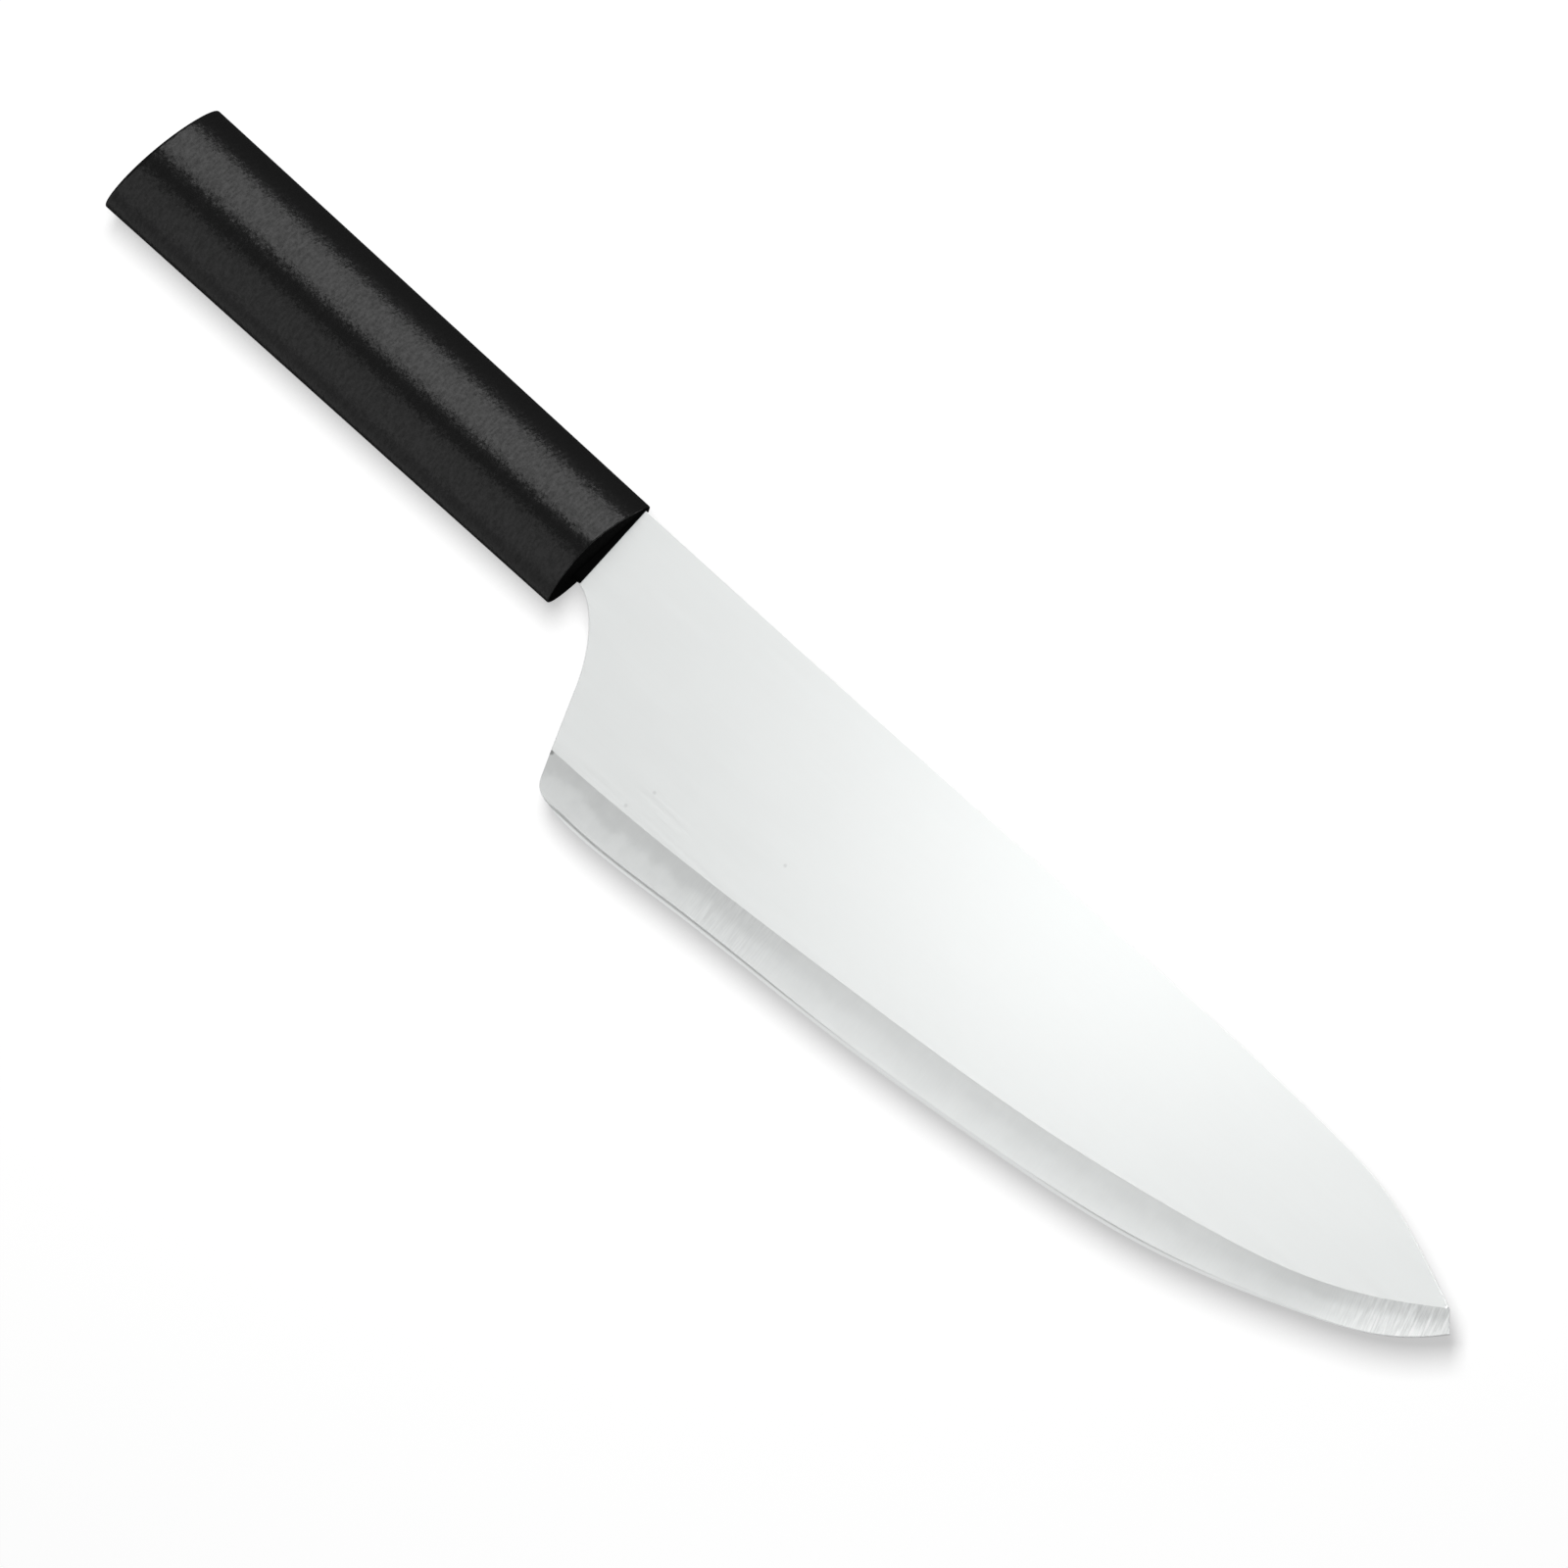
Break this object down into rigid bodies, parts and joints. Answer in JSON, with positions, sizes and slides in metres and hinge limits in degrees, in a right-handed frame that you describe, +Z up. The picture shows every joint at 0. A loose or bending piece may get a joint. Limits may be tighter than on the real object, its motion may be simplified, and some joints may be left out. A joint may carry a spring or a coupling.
{
  "type": "chef knife",
  "caption": "Chef's knife: broad curved stainless blade with a hollow-ground edge band and a straight pointed-oval black resin handle moulded round a hidden tang.",
  "frame": {"origin": "under the middle of the knife's box, on the surface that the knife lies on; the broad side of the handle touches Z = 0 and the blade's middle plane is level at Z = 9.2 mm", "axes": "+X from the handle to the tip, +Y from the cutting edge to the spine, +Z up through the thickness of the blade"},
  "size_m": [0.3299, 0.0548, 0.0184],
  "materials": {
    "stainless_steel": "satin flats, ground and polished hollow band along the edge",
    "black_resin": "satin black with a fine moulded texture"
  },
  "bodies": {
    "root": {"blade": "stainless_steel", "handle": "black_resin"}
  },
  "joints": []
}
